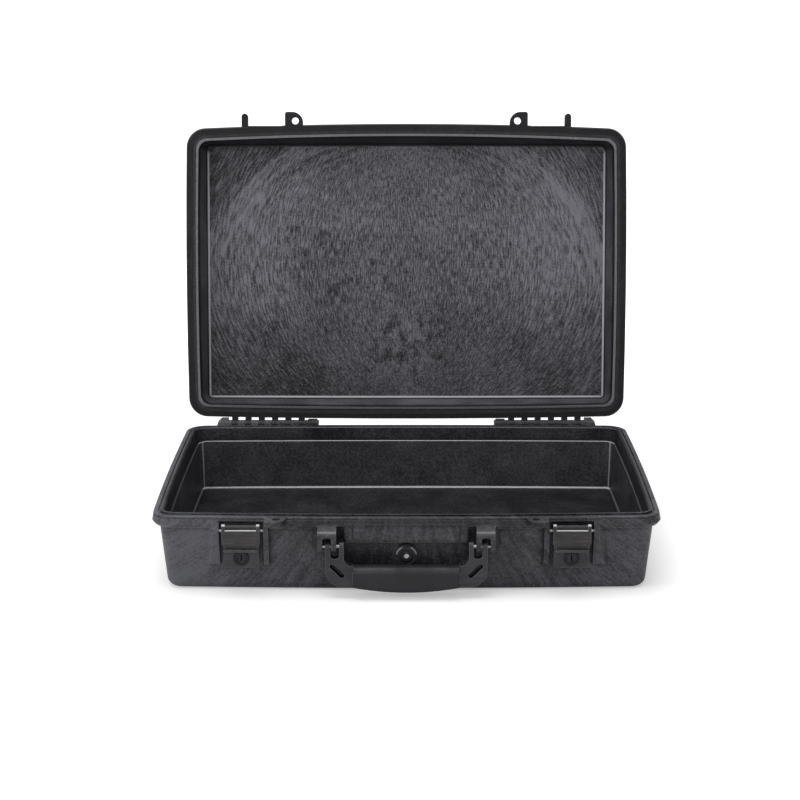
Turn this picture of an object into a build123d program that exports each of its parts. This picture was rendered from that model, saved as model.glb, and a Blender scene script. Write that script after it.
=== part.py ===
from build123d import *
import math
import os

# Laptop hard case: two injection-moulded shells on a pair of knuckle hinges, two locking
# draw latches, a swinging carry handle and a pressure vent.
#
# Frame: millimetres. Origin at the centre of the base's underside, +Z up, +X to the right
# seen from the front, and the front (latch side) at -Y. The lid is drawn standing open.
# "inset" is a distance inwards from the rim's outer edge, and "out" is a distance forwards
# from the front edge of the rim.

# ---------------------------------------------------------------- driving dimensions
case_width = 505.0
case_depth = 337.0
base_height = 80.0
lid_height = 40.0
lid_open_angle = 100.0
parting_gap = 0.4            # the seal holds the closed lid this far off the base

front_bow = 6.0              # how far each side of the plan bulges at its middle
rear_bow = 3.0
side_bow = 2.0
rim_corner_radius = 22.0

flange_height = 12.0
flange_swell = 1.5           # how far the flange's face swells out beyond the rim edge
flange_swell_at = 8.5        # where it stands out most, measured from the rim
flange_chamfer = 2.0
rim_edge_round = 0.8
rim_groove_drop = 1.8
rim_groove_size = 0.8
base_flange_overhang = 4.5   # how far the rim edge stands out from the wall
fitting_root = 6.5           # how deep a bracket or boss on the front runs back into the wall
lid_flange_overhang = 9.5
wall_corner_radius = 16.0
base_wall_batter = 7.0       # the base wall leans in by this much from rim to underside
lid_wall_batter = 5.0
base_bottom_radius = 9.0
lid_top_radius = 10.0

# cavity of the base: an upper band, a ledge, and a tapering tray
mouth_inset = 10.0
mouth_corner_radius = 12.0
ledge_drop = 15.0
ledge_width = 3.3
edge_break = 0.6             # bevel along the mouth and the ledge
tray_floor_height = 9.0
tray_floor_inset = 15.6
tray_corner_radius = 7.0
tray_floor_fillet = 2.5
under_pocket_depth = 4.0
under_pocket_margin = 36.0
under_centre_land = 30.0
under_pocket_radius = 14.0

# cavity of the lid
lid_floor_thickness = 4.5
lid_floor_inset = 21.3
lid_floor_corner_radius = 4.0
lid_floor_cove = 1.6          # the two-step cove between the lid's floor and its sides

# seal: gasket groove and inner lip in the lid, tongue with a channel beside it in the base
groove_inset = 6.0
groove_width = 4.0
groove_depth = 3.2
lip_clearance = 0.4
lip_width = 2.6
lip_drop = 1.4
seal_side_clearance = 0.2
seal_tip_clearance = 0.3
tongue_width = 2.2
tongue_height = 1.2
channel_inset = 4.3
channel_depth = 1.8

# hinges
hinge_x = 160.0
hinge_length = 117.0
hinge_setback = 6.0          # axis behind the rear edge of the rim
knuckle_radius = 4.0
knuckle_pitch = 15.4
knuckle_count = 6
lid_knuckle_width = 7.0
knuckle_side_clearance = 0.25
hinge_pin_radius = 1.5
hinge_pin_recess = 1.0
hinge_strip_drop = 9.5
hinge_end_chamfer = 4.0
lid_knuckle_root = 8.0
stop_length = 10.0
stop_clearance = 0.3
pivot_clearance = 0.05       # radial, every pin in a part that turns on it

# latch bays and their side ribs
latch_x = 162.5
bay_half_width = 21.75
bay_lip_height = 4.2
bay_depth = 7.0
inner_rib_thickness = 5.0
outer_rib_thickness = 6.0
outer_rib_flank = 11.0       # how far the outer rib's outer side spreads at the wall
rib_length = 52.0
rib_pin_wall = 1.7           # rib in front of the latch pin
rib_foot_setback = 3.5
rib_nose_bevel = 2.0

# latch lever, pivoting on the base
lever_pivot_out = 0.3
lever_pivot_drop = 14.0
lever_half_width = 17.25
lever_back_out = 1.0
lever_thickness = 3.2
lever_length = 52.0
lever_pivot_radius = 2.8
lever_foot_radius = 3.0
latch_pin_radius = 1.5

# latch claw, pivoting on the top of the lever and folded down in front of it
claw_pivot_out = 4.5
claw_pivot_drop = 9.0
claw_barrel_radius = 2.0
claw_eye_radius = 2.8
claw_eye_width = 3.2
claw_half_width = 18.6
claw_tip_half_width = 15.8
claw_cheek_clearance = 0.35
claw_plate_offset = 0.9      # plate behind the pin when hooked over the lid
claw_plate_thickness = 2.2
claw_hook_thickness = 2.5
claw_hook_length = 7.0
claw_edge_chamfer = 0.8
claw_taper_start = 16.5
claw_taper_end = 20.5
claw_pin_radius = 1.0

# keeper and guard ribs on the lid
keeper_clearance = 0.3
keeper_proud = 1.0
keeper_root = 3.0            # how deep the keeper's block runs into the lid's flange
keeper_side_clearance = 1.0
guard_rise = 3.8             # from the lid's rim up to the guard rib
guard_offset = 22.6          # centre of the guard rib outside the latch centre
guard_thickness = 7.2
guard_length = 16.0

# padlock eyes on both rims
eye_outer_x = 138.8
eye_width = 20.6
eye_reach = 16.0
eye_thickness = 5.0
eye_hole_x = 127.0
eye_hole_out = 5.8
eye_hole_radius = 4.0
eye_round = 12.0

# key lock in each lever
lock_drop = 41.0
lock_boss_radius = 8.0
lock_boss_height = 0.9
lock_body_radius = 6.5
lock_body_length = 8.2
lock_fit = 0.05
lock_plug_radius = 4.9
lock_plug_recess = 0.4
keyway_width = 1.3
keyway_height = 6.4
keyway_depth = 4.0
lock_nut_radius = 8.4
lock_nut_thickness = 2.6
cam_length = 11.0
cam_width = 6.0
cam_thickness = 1.5
catch_clearance = 0.4
catch_lip_thickness = 2.6
catch_lip_height = 4.7
catch_web_thickness = 2.6
catch_half_width = 5.0

# handle brackets on the base
bracket_tongue_x = 68.6      # inner face of the inner tongue
bracket_tongue_width = 4.9
bracket_tooth_x = 82.4       # inner face of the outer tooth
bracket_tooth_width = 4.6
bracket_flank = 8.0          # how far the outer flank spreads at the wall
bracket_reach = 14.0
bracket_top_drop = 6.5
bracket_brow_drop = 13.5
bracket_hood_thickness = 3.0
handle_pivot_out = 8.0
handle_pivot_drop = 27.0
bracket_eye_radius = 5.5
bracket_slot_back = 2.0

# handle
prong_width = 4.9
outer_prong_x = 74.5         # inner face of the outer prong
inner_prong_x = 61.4
inner_prong_width = 4.3
prong_radius = 4.5
fork_depth = 11.5            # pivot to the bottom of the fork
handle_pin_radius = 1.8
arm_thickness = 9.0
grip_half_length = 52.0
grip_top_drop = 46.5
grip_bottom_drop = 68.5
grip_bow = 5.0
grip_thickness = 17.0
grip_back_out = 1.0
grip_edge_radius = 6.5
core_height = 12.0
core_thickness = 7.0
arm_outer_curve = 18.0
arm_inner_curve = 9.0
arm_slot_width = 5.0

# blank nameplate boss in the middle of the front
plate_half_width = 62.0
plate_drop = 25.0
plate_top_drop = 6.0
plate_proud = 1.8            # a little further out than the swell of the flange
plate_side_radius = 3.0
plate_groove_x = 52.5
plate_groove_width = 1.0
plate_groove_depth = 0.8

# pressure vent
vent_drop = 40.7
vent_boss_radius = 13.6
vent_boss_out = -6.8
vent_flange_radius = 12.3
vent_flange_thickness = 2.6
vent_stem_radius = 7.9
vent_bore_clearance = 0.1
vent_cap_radius = 10.6
vent_cap_thickness = 2.0
vent_cap_hole_radius = 2.6
vent_cap_notch = 3.2
vent_recess_radius = 8.0
vent_recess_depth = 1.0
vent_membrane_thickness = 0.6
vent_ring_radius = 9.8
vent_ring_section = 1.6
vent_ring_depth = 1.2
vent_nut_radius = 11.6
vent_nut_thickness = 4.0
vent_seat_inset = 13.0
vent_seat_radius = 12.8

# ---------------------------------------------------------------- places worked out from them
rim_z = base_height
half_width = case_width / 2
half_depth = case_depth / 2
axis_y = half_depth + hinge_setback
lid_rim_z = rim_z + parting_gap
SIDES = (("left", -1), ("right", 1))


def bow_drop(x, bow):
    """How far an edge with this bow at its middle falls back at x."""
    half_chord = half_width - side_bow
    radius = (half_chord**2 + bow**2) / (2 * bow)
    return radius - math.sqrt(radius**2 - x**2)


def front_y(x):
    return -half_depth + bow_drop(x, front_bow)


def rear_y(x):
    return half_depth - bow_drop(x, rear_bow)


# each fitting on the front is placed from the rim's edge at its own x
latch_y = front_y(latch_x)
handle_y = front_y(outer_prong_x)
centre_y = front_y(0)
lever_pivot = (latch_y - lever_pivot_out, rim_z - lever_pivot_drop)
claw_pivot = (latch_y - claw_pivot_out, rim_z - claw_pivot_drop)
handle_pivot = (handle_y - handle_pivot_out, rim_z - handle_pivot_drop)
lid_lip_inset = mouth_inset + lip_clearance
hook_z = lid_rim_z + flange_height + keeper_clearance      # the hook's underside when latched
claw_reach = hook_z - claw_pivot[1]
wall_slope = base_wall_batter / base_height


# ---------------------------------------------------------------- shapes shared by the parts
def outline(inset, corner, z, bow=1.0):
    """The case's bowed plan, drawn inset from the rim edge, as a face at height z."""
    x = half_width - inset - side_bow * bow
    front = -half_depth + inset + front_bow * bow
    rear = half_depth - inset - rear_bow * bow
    middle = (front + rear) / 2
    edge = ThreePointArc((-x, front), (0, -half_depth + inset), (x, front))
    edge += ThreePointArc((x, front), (half_width - inset, middle), (x, rear))
    edge += ThreePointArc((x, rear), (0, half_depth - inset), (-x, rear))
    edge += ThreePointArc((-x, rear), (inset - half_width, middle), (-x, front))
    face = make_face(edge)
    return Pos(0, 0, z) * fillet(face.vertices(), corner)


def slab(inset, corner, low, high):
    """A prism of the plan between two heights."""
    return extrude(outline(inset, corner, low), amount=high - low)


def band(outer_inset, width, low, high):
    """A ring that follows the rim."""
    outer = slab(outer_inset, rim_corner_radius - outer_inset, low, high)
    inner_inset = outer_inset + width
    return outer - slab(inner_inset, rim_corner_radius - inner_inset, low - 1, high + 1)


def block(x_range, y_range, z_range):
    size = [high - low for low, high in (x_range, y_range, z_range)]
    low_corner = [low for low, high in (x_range, y_range, z_range)]
    return Pos(*low_corner) * Box(*size, align=(Align.MIN, Align.MIN, Align.MIN))


def span(sign, near, far):
    """An x range on one side of the case, from two distances off its middle."""
    return (near, far) if sign > 0 else (-far, -near)


def side_profile(points, x_range):
    """A prism along X from a (y, z) polygon."""
    face = make_face(Polyline(*[(0, y, z) for y, z in points], close=True))
    prism = extrude(face, amount=x_range[1] - x_range[0], dir=(1, 0, 0))
    return Pos(x_range[0], 0, 0) * prism


def rod(radius, x_range, place):
    """A cylinder along X, centred on a (y, z) place."""
    length = x_range[1] - x_range[0]
    turned = Rot(0, 90, 0) * Cylinder(radius, length)
    return Pos(x_range[0] + length / 2, *place) * turned


def stud(radius, x, z, y_range):
    """A cylinder along Y."""
    length = y_range[1] - y_range[0]
    turned = Rot(90, 0, 0) * Cylinder(radius, length)
    return Pos(x, y_range[0] + length / 2, z) * turned


def rim_flange(edge_z, way):
    """The swelling flange of a shell, which goes down from the base's rim or up from the lid's."""
    rings = ((0, 0), (-flange_swell, flange_swell_at), (flange_chamfer - flange_swell, flange_height))
    flange = loft([outline(inset, rim_corner_radius, edge_z + way * away) for inset, away in rings],
                  ruled=True)
    rim_edges = flange.edges().group_by(Axis.Z)[-1 if way < 0 else 0]
    return fillet(rim_edges, rim_edge_round)


def open_lid(shape):
    """Swings a part of the closed lid up about the hinge axis to where the lid rests."""
    return Pos(0, axis_y, rim_z) * Rot(-lid_open_angle, 0, 0) * Pos(0, -axis_y, -rim_z) * shape


# ---------------------------------------------------------------- padlock eyes
def padlock_eye(sign, low):
    """A flat eye in the rim plane: square outside, rounded towards the handle, drilled."""
    edge_y = front_y(eye_hole_x)
    inner_x = eye_outer_x - eye_width
    plan = make_face(Polyline(
        (eye_outer_x, edge_y + groove_inset), (eye_outer_x, edge_y - eye_reach),
        (inner_x, edge_y - eye_reach), (inner_x, edge_y + groove_inset), close=True,
    ))
    front_corners = plan.vertices().group_by(Axis.Y)[0].sort_by(Axis.X)
    plan = fillet(front_corners[:1], eye_round)
    plan = fillet(plan.vertices().group_by(Axis.Y)[0].sort_by(Axis.X)[-1:], 2.5)
    hole = Pos(eye_hole_x, edge_y - eye_hole_out, 0) * Circle(eye_hole_radius)
    eye = extrude(Pos(0, 0, low) * (plan - hole), amount=eye_thickness)
    return eye if sign > 0 else mirror(eye, Plane.YZ)


# ---------------------------------------------------------------- hinges
def knuckle_places():
    first = -(knuckle_count - 1) / 2 * knuckle_pitch
    return [first + knuckle_pitch * i for i in range(knuckle_count)]


def knuckle_slots(centre_x):
    """The spaces that the lid's knuckles turn in."""
    slots = []
    half = lid_knuckle_width / 2 + knuckle_side_clearance
    bottom = rim_z - knuckle_radius - stop_clearance
    for place in knuckle_places():
        x_range = (centre_x + place - half, centre_x + place + half)
        y_range = (rear_y(centre_x) + 0.6, axis_y + knuckle_radius + stop_clearance + 1)
        slots.append(block(x_range, y_range, (bottom, rim_z + knuckle_radius + 1)))
    return slots


def lid_stop(x_range):
    """A solid end of a hinge strip, sloped to meet the rear edge of the open lid."""
    slope = math.tan(math.radians(lid_open_angle - 90))
    nearest_x = min(abs(x_range[0]), abs(x_range[1]))
    rest_z = rim_z + axis_y - rear_y(nearest_x) - flange_swell - stop_clearance
    return side_profile([
        (axis_y - 0.5, rim_z + knuckle_radius - 0.6),
        (axis_y + 1, rest_z - slope - 0.8),
        (axis_y + 2, rest_z - 2 * slope),
        (axis_y + stop_length, rest_z - stop_length * slope),
        (axis_y + stop_length, rim_z),
        (axis_y + 1, rim_z - knuckle_radius),
    ], x_range)


def base_hinge(centre_x):
    """The base's knuckle strip, whose solid ends run back and stop the lid when it is open."""
    low_x, high_x = centre_x - hinge_length / 2, centre_x + hinge_length / 2
    root_y = rear_y(centre_x) - 4
    web = [
        (root_y, rim_z - 0.3), (axis_y, rim_z - 0.3),
        (axis_y + 1.5, rim_z - knuckle_radius + 0.3), (axis_y, rim_z - knuckle_radius - 1.2),
        (root_y + 3.5, rim_z - hinge_strip_drop), (root_y, rim_z - hinge_strip_drop),
    ]
    strip = side_profile(web, (low_x, high_x))
    strip += rod(knuckle_radius, (low_x, high_x), (axis_y, rim_z))
    end_length = (hinge_length - knuckle_pitch * knuckle_count) / 2
    for x_range in ((low_x, low_x + end_length), (high_x - end_length, high_x)):
        strip += lid_stop(x_range)
    over = knuckle_radius + hinge_end_chamfer
    for end_x, turn in ((low_x, 1), (high_x, -1)):
        corner = make_face(Polyline(
            (end_x - turn, 0, rim_z + 0.5), (end_x, 0, rim_z + 0.5),
            (end_x + turn * hinge_end_chamfer, 0, rim_z + knuckle_radius),
            (end_x + turn * hinge_end_chamfer, 0, rim_z + over), (end_x - turn, 0, rim_z + over),
            close=True,
        ))
        strip -= Pos(0, root_y, 0) * extrude(corner, amount=3 * stop_length, dir=(0, 1, 0))
    for slot in knuckle_slots(centre_x):
        strip -= slot
    bore_radius = hinge_pin_radius + pivot_clearance
    return strip, rod(bore_radius, (low_x - 1, high_x + 1), (axis_y, rim_z))


def lid_hinge_knuckles(centre_x):
    """The lid's knuckles in the closed position, each on a web from the lid's flange."""
    root_y = rear_y(centre_x) - 3
    knuckles = []
    for place in knuckle_places():
        x_range = (centre_x + place - lid_knuckle_width / 2, centre_x + place + lid_knuckle_width / 2)
        web = [
            (root_y, lid_rim_z), (axis_y, lid_rim_z), (axis_y + 3, rim_z + 2.6),
            (root_y + 3.5, lid_rim_z + lid_knuckle_root), (root_y, lid_rim_z + lid_knuckle_root),
        ]
        knuckle = side_profile(web, x_range) + rod(knuckle_radius, x_range, (axis_y, rim_z))
        knuckles.append(knuckle)
    return knuckles


def hinge_pin(centre_x):
    reach = hinge_length / 2 - hinge_pin_recess
    return rod(hinge_pin_radius, (centre_x - reach, centre_x + reach), (axis_y, rim_z))


# ---------------------------------------------------------------- base shell
def base_body():
    """Outer form of the base: battered wall under a projecting rim flange."""
    bottom = outline(base_flange_overhang + base_wall_batter, wall_corner_radius, 0)
    wall = loft([outline(base_flange_overhang, wall_corner_radius, rim_z), bottom], ruled=True)
    wall = fillet(wall.edges().group_by(Axis.Z)[0], base_bottom_radius)
    line = band(-flange_swell, flange_swell + rim_groove_size / 2,
                rim_z - rim_groove_drop - rim_groove_size, rim_z - rim_groove_drop)
    return wall + (rim_flange(rim_z, -1) - line)


def base_cavity():
    """The space inside the base: mouth, ledge and tapering tray, with bevelled upper edges."""
    ledge_z = rim_z - ledge_drop
    over = 1.0
    mouth = loft([
        outline(mouth_inset, mouth_corner_radius, ledge_z),
        outline(mouth_inset, mouth_corner_radius, rim_z - edge_break),
        outline(mouth_inset - edge_break - over, mouth_corner_radius + edge_break + over, rim_z + over),
    ], ruled=True)
    tray_inset = mouth_inset + ledge_width
    tray = loft([
        outline(tray_inset - edge_break, mouth_corner_radius + edge_break, ledge_z + 0.01),
        outline(tray_inset, mouth_corner_radius, ledge_z - edge_break),
        outline(tray_floor_inset, tray_corner_radius, tray_floor_height),
    ], ruled=True)
    tray = fillet(tray.edges().group_by(Axis.Z)[0], tray_floor_fillet)
    return mouth + tray


def under_pocket(sign):
    """A shallow pocket in the underside, which leaves a ring and a centre land to stand on."""
    x_size = half_width - under_pocket_margin - under_centre_land / 2
    y_size = case_depth - 2 * under_pocket_margin
    plan = RectangleRounded(x_size, y_size, under_pocket_radius)
    centre_x = sign * (under_centre_land / 2 + x_size / 2)
    return Pos(centre_x, 0, 0) * extrude(plan, amount=under_pocket_depth)


def rib_plate(near, thickness, flank, sign):
    """A bay's side rib, which carries the end of the latch pin and can spread to the wall."""
    edge = front_y(near)
    root = edge + base_flange_overhang + 3
    foot_z = rim_z - rib_length
    pivot_y, pivot_z = lever_pivot
    nose = pivot_y - latch_pin_radius - rib_pin_wall
    profile = [
        (root, rim_z - bay_lip_height + 1), (edge, rim_z - bay_lip_height + 1),
        (nose, pivot_z + latch_pin_radius), (nose, pivot_z - latch_pin_radius),
        (edge + rib_foot_setback, foot_z + 2), (edge + rib_foot_setback + 2, foot_z),
        (root + rib_length * wall_slope, foot_z),
    ]
    plate = side_profile(profile, (near, near + thickness + flank))
    wall_y = root + rib_length * wall_slope
    plan = make_face(Polyline(
        (near, nose - 1, foot_z), (near + thickness, nose - 1, foot_z), (near + thickness, nose + rib_nose_bevel, foot_z),
        (near + thickness + flank + 1, wall_y, foot_z), (near, wall_y, foot_z), close=True,
    ))
    plate &= extrude(plan, amount=rib_length)
    return plate if sign > 0 else mirror(plate, Plane.YZ)


def lock_catch(sign):
    """A hook on the base wall that the lock's cam turns behind."""
    cam_front = latch_y - lever_back_out - lever_thickness + lock_body_length + 1.0
    lip_back = cam_front - catch_clearance
    web_top = rim_z - lock_drop - cam_length - 1.3
    wall_y = latch_y + base_flange_overhang + (rim_z - web_top) * wall_slope + 3
    profile = [
        (lip_back - catch_lip_thickness, web_top + catch_lip_height), (lip_back, web_top + catch_lip_height),
        (lip_back, web_top), (wall_y, web_top),
        (wall_y, web_top - catch_web_thickness - 3),
        (lip_back - catch_lip_thickness, web_top - catch_web_thickness),
    ]
    centre = sign * latch_x
    return side_profile(profile, (centre - catch_half_width, centre + catch_half_width))


def latch_bay_cut(sign):
    """Clears the flange below its top lip, so that the latch can turn there."""
    x_range = span(sign, latch_x - bay_half_width, latch_x + bay_half_width)
    back = front_y(latch_x - bay_half_width) + bay_depth
    front = -half_depth - flange_swell - 1
    return block(x_range, (front, back), (rim_z - flange_height - 1, rim_z - bay_lip_height))


def handle_bracket(sign):
    """A hooded bracket with an outer tooth and an inner tongue for the forked handle."""
    front = handle_y - bracket_reach
    pivot_y, pivot_z = handle_pivot
    wall_y = handle_y + base_flange_overhang + fitting_root
    profile = [
        (wall_y, rim_z - bracket_top_drop), (handle_y - 1, rim_z - bracket_top_drop - 0.6),
        (front + 0.8, rim_z - bracket_brow_drop + 0.4), (front, rim_z - bracket_brow_drop - 0.6),
        (pivot_y - bracket_eye_radius, pivot_z), (pivot_y, pivot_z - bracket_eye_radius + 1),
        (pivot_y + bracket_eye_radius, pivot_z - bracket_eye_radius), (wall_y, pivot_z - 2),
    ]
    outer_x = bracket_tooth_x + bracket_tooth_width
    body = side_profile(profile, (bracket_tongue_x, outer_x + bracket_flank))
    body += rod(bracket_eye_radius, (bracket_tongue_x, outer_x), handle_pivot)
    plan = make_face(Polyline(
        (bracket_tongue_x, front - 2, 0), (outer_x, front - 2, 0), (outer_x, handle_y - 5, 0),
        (outer_x + bracket_flank, wall_y, 0), (bracket_tongue_x, wall_y, 0), close=True,
    ))
    body &= Pos(0, 0, rim_z - 45) * extrude(plan, amount=45)
    slot_x = (bracket_tongue_x + bracket_tongue_width, bracket_tooth_x)
    slot_top = rim_z - bracket_brow_drop - bracket_hood_thickness
    slot = block(slot_x, (front - 3, handle_y - bracket_slot_back), (rim_z - 50, slot_top))
    slot = fillet(slot.edges().filter_by(Axis.Y).group_by(Axis.Z)[-1], 3.0)
    body -= slot
    hole = rod(handle_pin_radius + pivot_clearance, (bracket_tongue_x - 1, outer_x - 1.5), handle_pivot)
    body -= hole
    return body if sign > 0 else mirror(body, Plane.YZ)


def nameplate_boss():
    """The blank raised panel in the middle of the front."""
    heights = (rim_z - plate_drop, rim_z - plate_top_drop)
    area = block((-plate_half_width, plate_half_width),
                 (-half_depth - 2 * flange_swell, -half_depth + base_flange_overhang + fitting_root), heights)
    boss = slab(-plate_proud, rim_corner_radius, *heights) & area
    front_edges = boss.edges().filter_by(Axis.Z).group_by(Axis.Y)[0]
    return fillet(front_edges, plate_side_radius)


def plate_grooves():
    cuts = []
    for _, sign in SIDES:
        x = sign * plate_groove_x
        edge = front_y(plate_groove_x)
        cuts.append(block((x - plate_groove_width / 2, x + plate_groove_width / 2),
                          (edge - 2 * flange_swell, edge - plate_proud + plate_groove_depth),
                          (rim_z - plate_drop + 2, rim_z - plate_top_drop + 1)))
    return cuts


def make_base_shell():
    shell = base_body()
    for _, sign in SIDES:
        shell -= latch_bay_cut(sign)
        shell += rib_plate(latch_x - bay_half_width - inner_rib_thickness, inner_rib_thickness, 0, sign)
        shell += rib_plate(latch_x + bay_half_width, outer_rib_thickness, outer_rib_flank, sign)
        shell += lock_catch(sign)
        shell += padlock_eye(sign, rim_z - eye_thickness)
        shell += handle_bracket(sign)
        strip, _ = base_hinge(sign * hinge_x)
        shell += strip
    shell += nameplate_boss()
    vent_z = rim_z - vent_drop
    shell += stud(vent_boss_radius, 0, vent_z,
                  (centre_y - vent_boss_out, centre_y + vent_seat_inset))
    shell -= base_cavity()
    tongue_inset = groove_inset + (groove_width - tongue_width) / 2
    shell -= band(channel_inset, tongue_inset - channel_inset, rim_z - channel_depth, rim_z + 1)
    shell += band(tongue_inset, tongue_width, rim_z - channel_depth, rim_z + tongue_height)
    shell -= stud(vent_stem_radius + vent_bore_clearance, 0, vent_z, (centre_y, centre_y + 30))
    shell -= stud(vent_seat_radius, 0, vent_z,
                  (centre_y + vent_seat_inset, centre_y + vent_seat_inset + 12))
    for cut in plate_grooves():
        shell -= cut
    near = latch_x - bay_half_width - inner_rib_thickness
    far = latch_x + bay_half_width + outer_rib_thickness
    for _, sign in SIDES:
        shell -= under_pocket(sign)
        shell -= rod(latch_pin_radius + pivot_clearance, span(sign, near - 1, far + 1), lever_pivot)
        _, bore = base_hinge(sign * hinge_x)
        shell -= bore
    return shell


# ---------------------------------------------------------------- lid
def lid_body():
    """Outer form of the closed lid."""
    top_z = rim_z + lid_height
    wall = loft([
        outline(lid_flange_overhang, wall_corner_radius, lid_rim_z),
        outline(lid_flange_overhang + lid_wall_batter, wall_corner_radius, top_z),
    ], ruled=True)
    wall = fillet(wall.edges().group_by(Axis.Z)[-1], lid_top_radius)
    lip = slab(lid_lip_inset, mouth_corner_radius - lip_clearance, lid_rim_z - lip_drop, lid_rim_z + 2)
    return wall + rim_flange(lid_rim_z, 1) + lip


def lid_cavity():
    """The space inside the lid, whose sides meet its floor in a small cove."""
    rim_inset = lid_lip_inset + lip_width
    low, high = lid_rim_z - lip_drop - 0.01, rim_z + lid_height - lid_floor_thickness
    lean = (lid_floor_inset - rim_inset) / (high - low)
    rings = (
        (lid_floor_inset - lean * lid_floor_cove, high - lid_floor_cove),
        (lid_floor_inset + 0.2 * lid_floor_cove, high - 0.3 * lid_floor_cove),
        (lid_floor_inset + lid_floor_cove, high),
    )
    faces = [outline(rim_inset, mouth_corner_radius, low)]
    faces += [outline(inset, lid_floor_corner_radius, z, bow=0.15) for inset, z in rings]
    return loft(faces, ruled=True)


def guard_rib(sign):
    """A finger that stands forward of the lid's edge beside the latch."""
    centre_x = latch_x + guard_offset
    edge_y = front_y(centre_x)
    length = guard_length + lid_flange_overhang - 2
    plan = SlotCenterToCenter(length, guard_thickness, rotation=90)
    place_y = edge_y - guard_length + guard_thickness / 2 + length / 2
    low = lid_rim_z + guard_rise
    high = lid_rim_z + flange_height
    rib = Pos(centre_x, place_y, low) * extrude(plan, amount=high - low)
    return rib if sign > 0 else mirror(rib, Plane.YZ)


def keeper_edge(sign, y_range):
    """A piece of the flange's height across the latch, from one depth to another."""
    half = claw_half_width + keeper_side_clearance
    outer = latch_x + guard_offset - guard_thickness / 2
    x_range = span(sign, latch_x - half, min(latch_x + half, outer))
    return block(x_range, y_range, (lid_rim_z, lid_rim_z + flange_height))


def make_lid_shell():
    shell = lid_body()
    for _, sign in SIDES:
        keeper_y = latch_y - keeper_proud
        shell -= keeper_edge(sign, (keeper_y - 2 * flange_swell, keeper_y))
        shell += keeper_edge(sign, (keeper_y, latch_y + keeper_clearance + keeper_root))
        shell += guard_rib(sign)
        shell += padlock_eye(sign, lid_rim_z)
        for knuckle in lid_hinge_knuckles(sign * hinge_x):
            shell += knuckle
    shell -= lid_cavity()
    shell -= band(groove_inset, groove_width, lid_rim_z - 3, lid_rim_z + groove_depth)
    reach = hinge_length / 2
    for _, sign in SIDES:
        x_range = (sign * hinge_x - reach, sign * hinge_x + reach)
        shell -= rod(hinge_pin_radius + pivot_clearance, x_range, (axis_y, rim_z))
    return open_lid(shell)


def make_lid_gasket():
    """The seal bedded in the lid's groove."""
    low = rim_z + tongue_height + seal_tip_clearance
    inset = groove_inset + seal_side_clearance
    width = groove_width - 2 * seal_side_clearance
    return open_lid(band(inset, width, low, lid_rim_z + groove_depth))


# ---------------------------------------------------------------- latches
def claw_eye_ranges(sign, clearance):
    """Where the claw's two eyes lie along its pin, or the room left for them."""
    centre = sign * latch_x
    inner = claw_half_width - claw_eye_width - clearance
    outer = claw_half_width + clearance
    return ((centre - outer, centre - inner), (centre + inner, centre + outer))


def make_latch_lever(sign):
    """The lever: a plate with a pivot barrel at its back and the claw's barrel at its top."""
    x_range = (sign * latch_x - lever_half_width, sign * latch_x + lever_half_width)
    back = latch_y - lever_back_out
    front = back - lever_thickness
    pivot_y, pivot_z = lever_pivot
    claw_y, claw_z = claw_pivot
    foot_z = rim_z - lever_length
    profile = [
        (pivot_y, pivot_z + lever_pivot_radius), (claw_y, claw_z + claw_barrel_radius),
        (front, claw_z - claw_barrel_radius), (front, foot_z + 1.2),
        (front + 1.2, foot_z), (back, foot_z),
        (back, pivot_z - lever_pivot_radius - 2), (pivot_y, pivot_z - lever_pivot_radius),
    ]
    lever = side_profile(profile, x_range)
    foot_corners = lever.edges().filter_by(Axis.Y).group_by(Axis.Z)[0]
    lever = fillet(foot_corners, lever_foot_radius)
    lever += rod(lever_pivot_radius, x_range, lever_pivot)
    lever += rod(claw_barrel_radius, x_range, claw_pivot)
    for eye_range in claw_eye_ranges(sign, claw_cheek_clearance):
        lever -= rod(claw_eye_radius + claw_cheek_clearance, eye_range, claw_pivot)
    beyond = (x_range[0] - 1, x_range[1] + 1)
    lever -= rod(latch_pin_radius + pivot_clearance, beyond, lever_pivot)
    lever -= rod(claw_pin_radius + pivot_clearance, beyond, claw_pivot)
    lever -= stud(lock_body_radius + lock_fit, sign * latch_x, rim_z - lock_drop,
                  (front - 5, back + 5))
    return lever


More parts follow.
